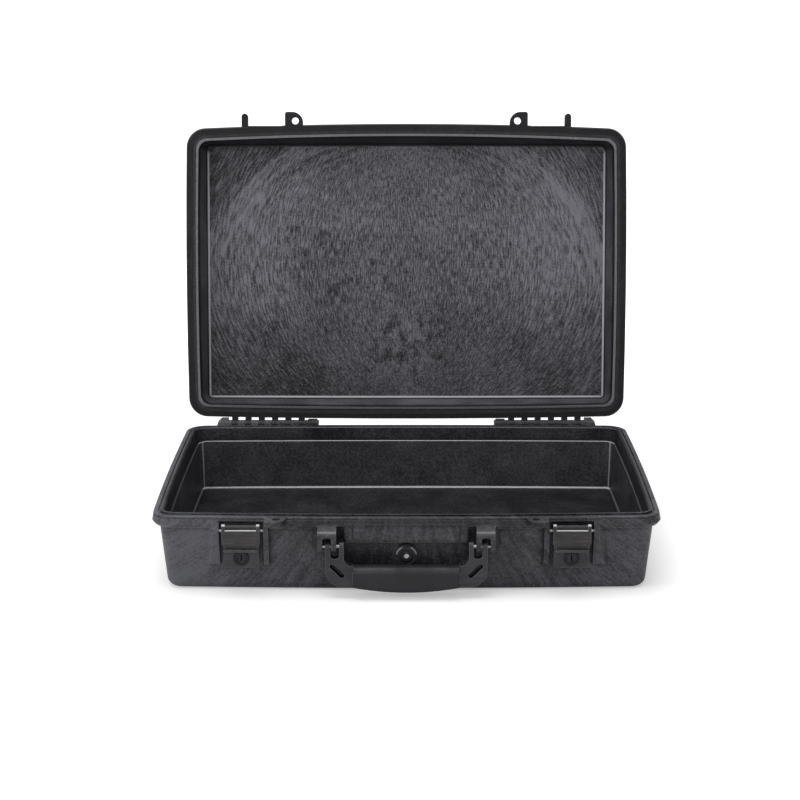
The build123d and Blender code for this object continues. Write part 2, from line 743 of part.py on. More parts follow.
def make_latch_claw(sign):
    """The claw: a plate hung from two eyes, with the hook along its free edge."""
    centre = sign * latch_x
    pin_y, pin_z = claw_pivot
    plate_back = pin_y - claw_plate_offset
    plate_front = plate_back - claw_plate_thickness
    hook_inner = pin_z - claw_reach
    end_z = hook_inner - claw_hook_thickness
    hook_tip = pin_y - claw_hook_length
    root_z = pin_z - claw_barrel_radius - claw_cheek_clearance
    taper_high, taper_low = pin_z - claw_taper_start, pin_z - claw_taper_end
    wide, narrow = claw_half_width, claw_tip_half_width
    front_view = make_face(Polyline(
        (centre - wide, 0, pin_z + 5), (centre + wide, 0, pin_z + 5),
        (centre + wide, 0, taper_high), (centre + narrow, 0, taper_low),
        (centre + narrow, 0, end_z), (centre - narrow, 0, end_z),
        (centre - narrow, 0, taper_low), (centre - wide, 0, taper_high), close=True,
    ))
    limit = Pos(0, plate_front - 20, 0) * extrude(front_view, amount=60, dir=(0, 1, 0))
    full = (centre - wide, centre + wide)
    claw = side_profile([
        (plate_back, root_z), (plate_front + claw_edge_chamfer, root_z),
        (plate_front, root_z - claw_edge_chamfer), (plate_front, hook_inner), (hook_tip, hook_inner),
        (hook_tip, end_z + claw_edge_chamfer), (hook_tip + claw_edge_chamfer, end_z), (plate_back, end_z),
    ], full)
    for x_range in claw_eye_ranges(sign, 0):
        claw += side_profile([
            (pin_y - 0.2, pin_z), (pin_y - claw_eye_radius, pin_z), (plate_front, root_z - claw_edge_chamfer),
            (plate_front, taper_high), (plate_back, taper_high), (plate_back, pin_z - claw_eye_radius),
        ], x_range)
        claw += rod(claw_eye_radius, x_range, claw_pivot)
    claw &= limit
    claw -= rod(claw_pin_radius + pivot_clearance, (full[0] - 1, full[1] + 1), claw_pivot)
    return claw


def make_latch_pin(sign):
    near = latch_x - bay_half_width - inner_rib_thickness
    far = latch_x + bay_half_width + outer_rib_thickness
    return rod(latch_pin_radius, span(sign, near + 0.2, far - 0.2), lever_pivot)


def make_claw_pin(sign):
    reach = claw_half_width - 0.2
    return rod(claw_pin_radius, (sign * latch_x - reach, sign * latch_x + reach), claw_pivot)


# ---------------------------------------------------------------- locks
lock_z = rim_z - lock_drop
lever_front_y = latch_y - lever_back_out - lever_thickness
lock_end_y = lever_front_y + lock_body_length


def make_lock_barrel(sign):
    """The lock's housing: a boss on the front of the lever and a body through it."""
    x = sign * latch_x
    boss = stud(lock_boss_radius, x, lock_z, (lever_front_y - lock_boss_height, lever_front_y))
    boss = chamfer(boss.edges().group_by(Axis.Y)[0], lock_boss_height - 0.3)
    body = stud(lock_body_radius, x, lock_z, (lever_front_y - 0.5, lock_end_y))
    bore = stud(lock_plug_radius + pivot_clearance, x, lock_z,
                (lever_front_y - lock_boss_height - 1, lock_end_y + 1))
    return boss + body - bore


def make_lock_plug(sign):
    """The part that the key turns."""
    x = sign * latch_x
    face_y = lever_front_y - lock_boss_height + lock_plug_recess
    plug = stud(lock_plug_radius, x, lock_z, (face_y, lock_end_y + 1.0))
    keyway = block((x - keyway_width / 2, x + keyway_width / 2), (face_y - 1, face_y + keyway_depth),
                   (lock_z - keyway_height / 2, lock_z + keyway_height / 2))
    return plug - keyway


def make_lock_cam(sign):
    """The tail behind the lever, which turns down behind the catch."""
    x = sign * latch_x
    y_range = (lock_end_y + 1.0, lock_end_y + 1.0 + cam_thickness)
    arm = block((x, x + cam_length), y_range, (lock_z - cam_width / 2, lock_z + cam_width / 2))
    return arm + stud(lock_plug_radius, x, lock_z, y_range)


def make_lock_nut(sign):
    back = latch_y - lever_back_out
    x = sign * latch_x
    nut = Pos(x, back, lock_z) * Rot(-90, 0, 0) * extrude(
        RegularPolygon(lock_nut_radius, 6, rotation=30), amount=lock_nut_thickness)
    return nut - stud(lock_body_radius + lock_fit, x, lock_z, (back - 2, back + 8))


# ---------------------------------------------------------------- handle
arm_mid_y = handle_pivot[0]
arm_front_y = arm_mid_y - arm_thickness / 2
arm_outer_x = outer_prong_x + prong_width
grip_top_z = rim_z - grip_top_drop
grip_bottom_z = rim_z - grip_bottom_drop
core_z = (grip_top_z + grip_bottom_z - grip_bow / 2) / 2
grip_mid_y = handle_y - grip_back_out - grip_thickness / 2


def handle_side():
    """One forked arm, the right-hand one, down to the grip's end."""
    top_z = handle_pivot[1]
    inner_x = grip_half_length
    outer_edge = [
        (inner_x, 0, grip_top_z), (inner_prong_x, 0, grip_top_z), (inner_prong_x, 0, top_z),
        (arm_outer_x, 0, top_z), (arm_outer_x, 0, grip_bottom_z), (inner_x, 0, grip_bottom_z),
    ]
    face = make_face(Polyline(*outer_edge, close=True))
    outer_corner = face.vertices().sort_by_distance((arm_outer_x, 0, grip_bottom_z))[0]
    face = fillet(outer_corner, arm_outer_curve)
    inner_corner = face.vertices().sort_by_distance((inner_prong_x, 0, grip_top_z))[0]
    face = fillet(inner_corner, arm_inner_curve)
    arm = Pos(0, arm_front_y, 0) * extrude(face, amount=arm_thickness, dir=(0, 1, 0))
    for x_range in ((inner_prong_x, inner_prong_x + inner_prong_width), (outer_prong_x, arm_outer_x)):
        arm += rod(prong_radius, x_range, handle_pivot)
    gap_x = (inner_prong_x + inner_prong_width, outer_prong_x)
    gap = block(gap_x, (arm_front_y - 1, arm_front_y + arm_thickness + 1), (top_z - fork_depth, top_z + 9))
    gap = fillet(gap.edges().filter_by(Axis.Y).group_by(Axis.Z)[0], (gap_x[1] - gap_x[0]) * 0.42)
    arm -= gap
    slot_length = math.hypot(outer_prong_x - inner_prong_x, outer_prong_x - inner_prong_x)
    slot_place = ((outer_prong_x + inner_prong_x) / 2, 0, top_z - fork_depth - 12.5)
    slot = extrude(SlotOverall(slot_length, arm_slot_width), amount=2 * arm_thickness, both=True)
    arm -= Pos(slot_place[0], arm_mid_y, slot_place[2]) * Rot(90, 0, 0) * Rot(0, 0, 45) * slot
    return arm


def make_handle_frame():
    """Two forked arms joined by the bar inside the grip."""
    arm = handle_side()
    bar = block((-grip_half_length - 1, grip_half_length + 1),
                (grip_mid_y - core_thickness / 2, grip_mid_y + core_thickness / 2),
                (core_z - core_height / 2, core_z + core_height / 2))
    frame = arm + mirror(arm, Plane.YZ) + bar
    bore_radius = handle_pin_radius + pivot_clearance
    return frame - rod(bore_radius, (-half_width, half_width), handle_pivot)


def make_handle_grip():
    """The soft grip moulded round the bar, bowed along its underside."""
    side_x = grip_half_length
    edge = Line((-side_x, 0, grip_top_z), (side_x, 0, grip_top_z))
    edge += Line((side_x, 0, grip_top_z), (side_x, 0, grip_bottom_z))
    edge += ThreePointArc((side_x, 0, grip_bottom_z), (0, 0, grip_bottom_z - grip_bow),
                          (-side_x, 0, grip_bottom_z))
    edge += Line((-side_x, 0, grip_bottom_z), (-side_x, 0, grip_top_z))
    face = make_face(edge)
    grip = extrude(face, amount=grip_thickness, dir=(0, -1, 0))
    grip = Pos(0, handle_y - grip_back_out, 0) * grip
    long_edges = grip.edges().filter_by(lambda e: e.bounding_box().size.X > side_x)
    grip = fillet(long_edges, grip_edge_radius)
    core = block((-side_x - 1, side_x + 1),
                 (grip_mid_y - core_thickness / 2, grip_mid_y + core_thickness / 2),
                 (core_z - core_height / 2, core_z + core_height / 2))
    return grip - core


def make_handle_pin(sign):
    inner = inner_prong_x + 0.3
    outer = bracket_tooth_x + bracket_tooth_width - 1.7
    return rod(handle_pin_radius, span(sign, inner, outer), handle_pivot)


# ---------------------------------------------------------------- vent
vent_z = rim_z - vent_drop
vent_seat_y = centre_y - vent_boss_out
vent_face_y = vent_seat_y - vent_flange_thickness


def make_vent_body():
    flange = stud(vent_flange_radius, 0, vent_z, (vent_face_y, vent_seat_y))
    flange = chamfer(flange.edges().group_by(Axis.Y)[0], 0.8)
    stem_end = centre_y + vent_seat_inset + vent_nut_thickness + 1
    body = flange + stud(vent_stem_radius, 0, vent_z, (vent_seat_y - 0.5, stem_end))
    body -= stud(vent_recess_radius, 0, vent_z, (vent_face_y - 1, vent_face_y + vent_recess_depth))
    body -= stud(vent_cap_hole_radius, 0, vent_z, (vent_face_y - 1, stem_end + 1))
    ring_outer = vent_ring_radius + vent_ring_section / 2 + 0.1
    ring_inner = vent_ring_radius - vent_ring_section / 2 - 0.1
    groove_y = (vent_seat_y - vent_ring_depth, vent_seat_y + 1)
    groove = stud(ring_outer, 0, vent_z, groove_y) - stud(ring_inner, 0, vent_z, groove_y)
    return body - groove


def make_vent_ring():
    y_range = (vent_seat_y - vent_ring_depth, vent_seat_y)
    outer = stud(vent_ring_radius + vent_ring_section / 2, 0, vent_z, y_range)
    return outer - stud(vent_ring_radius - vent_ring_section / 2, 0, vent_z, y_range)


def make_vent_membrane():
    y_range = (vent_face_y + vent_recess_depth - vent_membrane_thickness,
               vent_face_y + vent_recess_depth)
    return stud(vent_recess_radius - 0.2, 0, vent_z, y_range)


def make_vent_cap():
    """The cap over the membrane, notched round its edge so that the case can breathe."""
    y_range = (vent_face_y - vent_cap_thickness, vent_face_y)
    cap = stud(vent_cap_radius, 0, vent_z, y_range)
    cap = chamfer(cap.edges().group_by(Axis.Y)[0], 0.6)
    cap -= stud(vent_cap_hole_radius, 0, vent_z, (y_range[0] - 1, y_range[1] + 1))
    dish = stud(vent_cap_radius - 2.6, 0, vent_z, (y_range[0] - 1, y_range[0] + 0.9))
    cap -= dish - stud(vent_cap_hole_radius + 1.6, 0, vent_z, (y_range[0] - 2, y_range[0] + 2))
    for turn in range(4):
        notch = block((-vent_cap_notch / 2, vent_cap_notch / 2), (y_range[0] - 1, y_range[0] + 1.1),
                      (vent_cap_radius - 3.0, vent_cap_radius + 1))
        cap -= Pos(0, 0, vent_z) * Rot(0, 90 * turn, 0) * notch
    return cap


def make_vent_nut():
    seat = centre_y + vent_seat_inset
    nut = Pos(0, seat, vent_z) * Rot(-90, 0, 0) * extrude(
        RegularPolygon(vent_nut_radius, 6), amount=vent_nut_thickness)
    return nut - stud(vent_stem_radius + lock_fit, 0, vent_z, (seat - 1, seat + 9))


# ---------------------------------------------------------------- every part, by name
parts = {
    "base_shell": make_base_shell(),
    "lid_shell": make_lid_shell(),
    "lid_gasket": make_lid_gasket(),
    "handle_frame": make_handle_frame(),
    "handle_grip": make_handle_grip(),
    "vent_body": make_vent_body(),
    "vent_o_ring": make_vent_ring(),
    "vent_membrane": make_vent_membrane(),
    "vent_cap": make_vent_cap(),
    "vent_nut": make_vent_nut(),
}
for side, sign in SIDES:
    parts[f"hinge_pin_{side}"] = hinge_pin(sign * hinge_x)
    parts[f"handle_pin_{side}"] = make_handle_pin(sign)
    parts[f"latch_lever_{side}"] = make_latch_lever(sign)
    parts[f"latch_claw_{side}"] = make_latch_claw(sign)
    parts[f"latch_pin_{side}"] = make_latch_pin(sign)
    parts[f"claw_pin_{side}"] = make_claw_pin(sign)
    parts[f"lock_barrel_{side}"] = make_lock_barrel(sign)
    parts[f"lock_plug_{side}"] = make_lock_plug(sign)
    parts[f"lock_cam_{side}"] = make_lock_cam(sign)
    parts[f"lock_nut_{side}"] = make_lock_nut(sign)

os.makedirs("parts", exist_ok=True)
for name, shape in parts.items():
    export_step(shape, f"parts/{name}.step")
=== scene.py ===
import math

import bpy
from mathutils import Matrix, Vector


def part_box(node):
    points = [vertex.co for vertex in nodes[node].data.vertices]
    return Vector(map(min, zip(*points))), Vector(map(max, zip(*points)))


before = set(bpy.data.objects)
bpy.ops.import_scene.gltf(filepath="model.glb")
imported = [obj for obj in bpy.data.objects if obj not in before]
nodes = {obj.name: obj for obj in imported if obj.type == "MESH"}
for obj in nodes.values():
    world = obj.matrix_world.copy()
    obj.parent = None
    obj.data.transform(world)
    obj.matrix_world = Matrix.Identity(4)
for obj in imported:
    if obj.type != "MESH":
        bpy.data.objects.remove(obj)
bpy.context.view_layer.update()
bpy.ops.object.select_all(action="DESELECT")
scene = bpy.context.scene
scene.view_settings.view_transform = "Standard"


# ---------------------------------------------------------------- studio
# A white sweep under a wide soft lamp from above, with two soft lamps at the front and the left, as
# for a catalogue shot. The camera stands well back with a long lens and looks down into the case.

rim_height = 0.080
front_edge_y = -0.1685
camera_back = 1.7185
camera_rise = 0.578
camera_tilt = math.radians(14.94)
camera_lens = 83.15
camera_sensor = 36
camera_shift = -0.0080
camera_sees_to = 60

camera_data = bpy.data.cameras.new("camera")
camera_data.lens = camera_lens
camera_data.sensor_width = camera_sensor
camera_data.shift_x = camera_shift
camera_data.clip_end = camera_sees_to
camera = bpy.data.objects.new("camera", camera_data)
camera.location = (0, front_edge_y - camera_back, rim_height + camera_rise)
camera.rotation_euler = (math.pi / 2 - camera_tilt, 0, 0)
scene.collection.objects.link(camera)
scene.camera = camera


def soft_lamp(name, size, power, place, aim):
    """A rectangular lamp at a place, turned to face a point."""
    data = bpy.data.lights.new(name, "AREA")
    data.shape = "RECTANGLE"
    data.size, data.size_y = size
    data.energy = power
    lamp = bpy.data.objects.new(name, data)
    lamp.location = place
    direction = Vector(aim) - Vector(place)
    lamp.rotation_euler = direction.to_track_quat("-Z", "Y").to_euler()
    scene.collection.objects.link(lamp)


soft_lamp("lamp_top", size=(2.2, 1.6), power=30, place=(-0.2, 0.0, 2.3), aim=(0, 0, 0.1))
soft_lamp("lamp_front", size=(2.4, 1.2), power=16, place=(-0.6, -2.6, 1.5), aim=(0, 0, 0.2))
soft_lamp("lamp_left", size=(1.0, 1.4), power=13, place=(-2.2, -1.1, 0.9), aim=(0, 0, 0.15))


def feed(tree, socket, value):
    """Set an input to a value, or link it to another node's output."""
    if isinstance(value, bpy.types.NodeSocket):
        tree.links.new(value, socket)
    else:
        socket.default_value = value


def add_node(tree, kind, inputs=(), **settings):
    """Add a shader node with its settings, and its inputs as (name, value) pairs."""
    item = tree.nodes.new("ShaderNode" + kind)
    for name, value in settings.items():
        setattr(item, name, value)
    for name, value in inputs:
        feed(tree, item.inputs[name], value)
    return item


def maths(tree, operation, *values):
    """One step of arithmetic on plain numbers or other nodes' outputs."""
    return add_node(tree, "Math", enumerate(values), operation=operation).outputs[0]


def times(tree, first, second):
    return maths(tree, "MULTIPLY", first, second)


white_in_gloss = 0.70
light_from_room = 0.50

world = bpy.data.worlds.new("room")
world.use_nodes = True
room = world.node_tree
ray = add_node(room, "LightPath")
gloss = times(room, ray.outputs["Is Glossy Ray"], white_in_gloss)
seen = maths(room, "MAXIMUM", ray.outputs["Is Camera Ray"], gloss)
seen = maths(room, "MAXIMUM", seen, ray.outputs["Is Transmission Ray"])
level = maths(room, "MAXIMUM", seen, light_from_room)
room.nodes["Background"].inputs["Color"].default_value = (1, 1, 1, 1)
feed(room, room.nodes["Background"].inputs["Strength"], level)
scene.world = world

floor_width = 40
floor_drop = 0.0004
floor_white = (0.86, 0.86, 0.87, 1)
glow_near_case = 0.34
glow_far_off = 0.90
glow_starts = 0.30
glow_full = 1.10

bpy.ops.mesh.primitive_plane_add(size=floor_width, location=(0, 0, -floor_drop))
floor = bpy.context.object
floor.name = "floor"
floor_paint = bpy.data.materials.new("floor_paint")
floor_paint.use_nodes = True
tree = floor_paint.node_tree
tree.nodes.remove(tree.nodes["Principled BSDF"])
paint = add_node(tree, "BsdfDiffuse", [("Color", floor_white)])
ray = add_node(tree, "LightPath")
on_sweep = add_node(tree, "TexCoord").outputs["Object"]
from_case = add_node(tree, "VectorMath", [(0, on_sweep)], operation="LENGTH").outputs["Value"]
spread = add_node(tree, "MapRange", [("Value", from_case),
                                     ("From Min", glow_starts), ("From Max", glow_full),
                                     ("To Min", glow_near_case), ("To Max", glow_far_off)])
strength = times(tree, ray.outputs["Is Camera Ray"], spread.outputs["Result"])
glow = add_node(tree, "Emission", [("Strength", strength)])
lift = add_node(tree, "AddShader", [(0, paint.outputs[0]), (1, glow.outputs[0])])
feed(tree, tree.nodes["Material Output"].inputs["Surface"], lift.outputs[0])
floor.data.materials.append(floor_paint)


# ---------------------------------------------------------------- base shell
# The lower half is one moulding in a tough near-black plastic. The tool is spark-finished, which
# leaves a fine even grain, and the melt flowed out from the middle and left faint fanned marks.


def new_group(name, inputs, outputs):
    """A node group with named inputs (name, kind, default) and outputs (name, kind)."""
    group = bpy.data.node_groups.new(name, "ShaderNodeTree")
    for label, kind, default in inputs:
        socket = group.interface.new_socket(label, in_out="INPUT", socket_type="NodeSocket" + kind)
        if default is not None:
            socket.default_value = default
    for label, kind in outputs:
        group.interface.new_socket(label, in_out="OUTPUT", socket_type="NodeSocket" + kind)
    return group, group.nodes.new("NodeGroupInput").outputs, group.nodes.new("NodeGroupOutput").inputs


def noise(tree, place, scale, detail=2.0, roughness=0.5):
    """Soft noise about one half, with as many spots to a metre of its place as the scale says."""
    inputs = [("Vector", place), ("Scale", scale), ("Detail", detail), ("Roughness", roughness)]
    return add_node(tree, "TexNoise", inputs).outputs["Fac"]


def rise(tree, value, low, high):
    """0 at low, 1 at high, and a smooth step between, whichever of the two is the larger."""
    inputs = [("Value", value), ("From Min", low), ("From Max", high)]
    return add_node(tree, "MapRange", inputs, interpolation_type="SMOOTHSTEP").outputs["Result"]


def sloped(tree, value, slope, start):
    """The value times a slope, on top of a start."""
    return maths(tree, "MULTIPLY_ADD", value, slope, start)


def less(tree, first, second):
    return maths(tree, "SUBTRACT", first, second)


def rest_of(tree, mask):
    """1 where a mask is 0."""
    return maths(tree, "SUBTRACT", 1.0, mask)


def all_of(tree, *masks):
    """1 only where every mask is 1."""
    whole = masks[0]
    for mask in masks[1:]:
        whole = times(tree, whole, mask)
    return whole


def size_of(tree, value):
    """How large a value is, whatever its sign."""
    return maths(tree, "ABSOLUTE", value)


def turned_round(tree, value):
    return maths(tree, "MULTIPLY", value, -1.0)


def shade(tree, tone, shares):
    """Pale or darken a tone by each mark's share."""
    for share, mark in shares:
        tone = sloped(tree, mark, share, tone)
    return tone


def blend_colours(tree, amount, first, second):
    return add_node(tree, "Mix", [(0, amount), (6, first), (7, second)], data_type="RGBA").outputs[2]


mottles_per_metre = 22
patches_per_metre = 160
# how far an edge's normal turns and how patchy its wear is, then the reach and cut of the painted
# crevice shade, and how open an edge must be for its painted highlight
edge_turn = (0.004, 0.14)
edge_patches = (0.32, 0.62)
crevice_reach = 0.007
crevice_shade_cut = (0.92, 0.45)
open_edge = (0.60, 0.90)
streak_cut = (0.34, 0.78)
slow_marks = (0.16, 0.42, 1.0)


def tool_grain_group():
    """The fine grain of a spark-finished tool, with the broad soft mottling of the plastic."""
    group, given, made = new_group(
        "tool_grain", [("Place", "Vector", None), ("Grain Scale", "Float", 1400)],
        [("Height", "Float"), ("Mottle", "Float")])
    feed(group, made["Height"], noise(group, given["Place"], given["Grain Scale"], 2, 0.6))
    feed(group, made["Mottle"], noise(group, given["Place"], mottles_per_metre, 6, 0.62))
    return group


def edge_wear_and_highlight_group():
    """Pale edges where a rounded normal leaves the true one, part rubbed wear and part painted
    highlight, and painted shade in crevices where edges meet.
    """
    group, given, made = new_group(
        "edge_wear_and_highlight",
        [("Place", "Vector", None), ("Width", "Float", 0.0007), ("Patchiness", "Float", 0.5)],
        [("Mask", "Float"), ("Crevice Shade", "Float"), ("Soft Normal", "Vector")])
    soft = add_node(group, "Bevel", [("Radius", given["Width"])], samples=4).outputs[0]
    true = add_node(group, "NewGeometry").outputs["True Normal"]
    turn = add_node(group, "VectorMath", [(0, soft), (1, true)], operation="DOT_PRODUCT")
    edge = rise(group, rest_of(group, turn.outputs["Value"]), *edge_turn)
    patches = rise(group, noise(group, given["Place"], patches_per_metre, 4, 0.65), *edge_patches)
    worn = times(group, patches, given["Patchiness"])
    shelter = add_node(group, "AmbientOcclusion", [("Distance", crevice_reach)],
                       samples=6, only_local=True)
    open_air = shelter.outputs["AO"]
    feed(group, made["Crevice Shade"], rise(group, open_air, *crevice_shade_cut))
    outer_edge = times(group, edge, rise(group, open_air, *open_edge))
    worn = maths(group, "ADD", worn, rest_of(group, given["Patchiness"]))
    feed(group, made["Mask"], times(group, outer_edge, worn))
    feed(group, made["Soft Normal"], soft)
    return group


def flow_marks_group():
    """Hair-fine streaks along the way that the melt ran, with slow patches beside them."""
    group, given, made = new_group(
        "flow_marks", [("Across", "Float", 0), ("Along", "Float", 0)],
        [("Streak", "Float"), ("Patch", "Float")])
    fine = add_node(group, "CombineXYZ", [("X", given["Across"]), ("Y", given["Along"])]).outputs[0]
    slow = add_node(group, "VectorMath", [(0, fine), (1, slow_marks)], operation="MULTIPLY").outputs[0]
    feed(group, made["Streak"], rise(group, noise(group, fine, 1.0, 1.2, 0.5), *streak_cut))
    feed(group, made["Patch"], noise(group, slow, 1.0, 4, 0.6))
    return group


tool_grain = tool_grain_group()
edge_wear_and_highlight = edge_wear_and_highlight_group()
flow_marks = flow_marks_group()
streak_mean = 0.33
noise_mean = 0.5


def use_group(tree, group, **inputs):
    """Place a group in a material and give back its outputs."""
    item = tree.nodes.new("ShaderNodeGroup")
    item.node_tree = group
    for name, value in inputs.items():
        feed(tree, item.inputs[name.replace("_", " ")], value)
    return item.outputs


def new_material(name):
    """A material with its tree, its surface shader and the piece's own coordinates."""
    material = bpy.data.materials.new(name)
    material.use_nodes = True
    tree = material.node_tree
    return material, tree, tree.nodes["Principled BSDF"], add_node(tree, "TexCoord").outputs


def parts_of(tree, vector):
    """A place or a normal taken apart into X, Y and Z."""
    return add_node(tree, "SeparateXYZ", [(0, vector)]).outputs


def relief(tree, height, depth, normal=None):
    """Small relief of a height in metres, over the surface's own normal or over another one."""
    inputs = [("Height", height), ("Distance", depth)]
    if normal is not None:
        inputs.append(("Normal", normal))
    return add_node(tree, "Bump", inputs).outputs["Normal"]


def dress(names, material):
    for name in names:
        nodes[name].material_slots[0].material = material


def inside_of_box(tree, spot, half_x, half_y, lean):
    """1 within upright walls that lean outwards as they rise, from their half widths at the floor."""
    spread = times(tree, spot["Z"], lean)
    across = less(tree, maths(tree, "ADD", spread, half_x), size_of(tree, spot["X"]))
    deep = less(tree, maths(tree, "ADD", spread, half_y), size_of(tree, spot["Y"]))
    return rise(tree, maths(tree, "MINIMUM", across, deep), *wall_skin)


def band_between(tree, value, low, full_low, full_high, high):
    """0 up to low, 1 from full_low to full_high, and 0 again from high."""
    falling = rest_of(tree, rise(tree, value, full_high, high))
    return times(tree, rise(tree, value, low, full_low), falling)


def distance(tree, first, second):
    """How long the slope is over two upright legs."""
    squares = sloped(tree, first, first, times(tree, second, second))
    return maths(tree, "SQRT", squares)


base_dark = (0.005, 0.005, 0.0065, 1)
base_pale = (0.088, 0.089, 0.102, 1)
# the pale of worn edges with their painted highlight, then the tray's painted highlight lines
base_worn_and_highlit = (0.160, 0.161, 0.176, 1)
base_tray_highlight = (0.420, 0.420, 0.450, 1)
plastic_gloss = 0.32
plastic_grain_per_metre = 1300
base_speckles_per_metre = 420
base_roughness = 0.46
grain_depth = 0.00009
tone_range = (-0.05, 1.15)

# the tray: its inner walls at the floor, and the heights where one part of it gives way to the next
base_inner_half_width = 0.2387
base_inner_half_depth = 0.1547
base_wall_lean = 0.075
wall_skin = (-0.0002, 0.0002)
above_floor = (0.0062, 0.0066)
below_ledge = (0.0655, 0.0640)
above_ledge = (0.0655, 0.0665)
below_flange = (0.0705, 0.0685)
below_seal = (0.0765, 0.0745)
rim_crest = (0.0775, 0.0785)
no_bevel_above = (0.070, 0.074)
turned_inward = (-0.01, -0.03)
facing_up = (0.2, 0.3)
crest_facing = (0.20, 0.50)
floor_facing = (0.80, 0.97)
rear_facing = (0.80, 0.95)
front_facing = (-0.1, 0.35)
bevel_facing = (0.25, 0.45, 0.90, 0.97)
corner_facing = (0.60, 0.66, 0.74, 0.80)

# the outside, how the melt ran along it, and where its painted light and shade lie
front_wall = (0.150, 0.152)
front_rim = (-0.10, -0.12)
ends_begin = (0.06, 0.16)
left_end = (0.10, 0.21)
right_end = (0.17, 0.22)
flow_start_height = 0.20
flow_start_side = 0.1
flow_round_corner = 0.6
flow_marks_round = 150.0
flow_marks_down = 40.0
grip_half_width = (0.075, 0.062)
below_plate = (0.0590, 0.0560)
plate_groove = 0.0530
groove_half_width = (0.0012, 0.0005)
groove_heights = (0.0560, 0.0570, 0.0735, 0.0745)

# the handle brackets: a painted highlight line along the hood's edge and a weaker one along its top
bracket_width = (0.0680, 0.0690, 0.0865, 0.0875)
bracket_stands_out = (0.176, 0.178)
hood_fall = 0.36
hood_edge_highlight = (0.0028, 0.0034, 0.0042, 0.0048)
hood_top_highlight = (0.0118, 0.0126, 0.0134, 0.0142)

# a thin pad stands on the wall under each latch, and its two edges just show
latch_low, latch_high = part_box("latch_lever_right")
pad_middle = (latch_low[0] + latch_high[0]) / 2
pad_half_width = (latch_high[0] - latch_low[0]) / 2 + 0.0008
pad_edge = (-0.0003, 0.0003)
pad_thickness = 0.0004

base_plastic, tree, surface, here = new_material("base_plastic")
spot = parts_of(tree, here["Object"])
facing = parts_of(tree, here["Normal"])
grain = use_group(tree, tool_grain, Place=here["Object"], Grain_Scale=plastic_grain_per_metre)
wear_highlight_and_shade = use_group(tree, edge_wear_and_highlight, Place=here["Object"], Width=0.0007, Patchiness=0.6)
from_middle = size_of(tree, spot["X"])
forward = turned_round(tree, spot["Y"])
faces_front = turned_round(tree, facing["Y"])

outward = sloped(tree, facing["Y"], spot["Y"], times(tree, facing["X"], spot["X"]))
faces_in = maths(tree, "MAXIMUM", rise(tree, outward, *turned_inward),
                 rise(tree, facing["Z"], *facing_up))
in_the_tray = inside_of_box(tree, spot, base_inner_half_width, base_inner_half_depth, base_wall_lean)
inside = all_of(tree, rise(tree, spot["Z"], *above_floor), in_the_tray, faces_in)
outside = rest_of(tree, inside)
on_floor = times(tree, inside, rise(tree, facing["Z"], *floor_facing))
on_rear = times(tree, inside, rise(tree, faces_front, *rear_facing))
brow = times(tree, inside, rise(tree, spot["Z"], *above_ledge))
# painted shade in the base's crevices below the seal
crevice_shade = times(tree, wear_highlight_and_shade["Crevice Shade"], rise(tree, spot["Z"], *below_seal))
# painted highlight along the front of the rim's crest
rim_highlight = all_of(tree, rise(tree, spot["Z"], *rim_crest), rise(tree, facing["Z"], *crest_facing),
                 rise(tree, spot["Y"], *front_rim))

round_wall = sloped(tree, spot["Y"], flow_round_corner, maths(tree, "ADD", spot["X"], flow_start_side))
below_start = less(tree, flow_start_height, spot["Z"])
fan = maths(tree, "ARCTAN2", round_wall, below_start)
reach = distance(tree, round_wall, below_start)
marks = use_group(tree, flow_marks, Across=times(tree, fan, flow_marks_round),
                  Along=times(tree, reach, flow_marks_down))
streak = less(tree, marks["Streak"], streak_mean)
patch = less(tree, marks["Patch"], noise_mean)
speckle = less(tree, noise(tree, here["Object"], base_speckles_per_metre, 3, 0.65), noise_mean)
mottle = less(tree, grain["Mottle"], noise_mean)

fanned = all_of(tree, streak, outside, rise(tree, from_middle, *ends_begin))
patched = times(tree, patch, outside)
# painted light: the outside paler at its left and right ends and on its walls below the flange
lit_left_end = times(tree, rise(tree, turned_round(tree, spot["X"]), *left_end), outside)
lit_right_end = times(tree, rise(tree, spot["X"], *right_end), outside)
painted_wall_light = times(tree, outside, rise(tree, spot["Z"], *below_flange))
on_front = rise(tree, forward, *front_wall)
# painted shadow of the handle on the front wall behind its grip
grip_shadow = all_of(tree, rise(tree, from_middle, *grip_half_width), on_front,
                     rise(tree, spot["Z"], *below_plate))
# painted shade: a dark line where the plate's groove runs down the front
from_groove = size_of(tree, less(tree, from_middle, plate_groove))
groove_shade = all_of(tree, rise(tree, from_groove, *groove_half_width), on_front,
                band_between(tree, spot["Z"], *groove_heights))

tone = sloped(tree, mottle, 0.8, 0.25)
# painted light and shade in the tray: paler inside and on its rear wall, darker on its floor and in the
# band above the ledge
tone = shade(tree, tone, [(0.10, inside), (0.06, on_rear), (-0.18, on_floor), (-0.12, brow)])
tone = shade(tree, tone, [(0.36, fanned), (1.0, patched), (1.3, speckle)])
tone = shade(tree, tone, [(0.21, painted_wall_light), (0.44, lit_left_end), (0.21, lit_right_end), (-0.20, grip_shadow)])
tone = shade(tree, tone, [(-0.42, crevice_shade), (-0.60, groove_shade), (0.28, rim_highlight)])
plain = blend_colours(tree, rise(tree, tone, *tone_range), base_dark, base_pale)

# painted highlight lines across the handle brackets' hoods
down_the_hood = sloped(tree, spot["Y"], hood_fall, spot["Z"])
hood_highlight_lines = sloped(tree, band_between(tree, down_the_hood, *hood_top_highlight), 0.35,
                    band_between(tree, down_the_hood, *hood_edge_highlight))
hood_highlight = all_of(tree, hood_highlight_lines, band_between(tree, from_middle, *bracket_width),
                  rise(tree, forward, *bracket_stands_out), maths(tree, "ADD", speckle, 0.9))
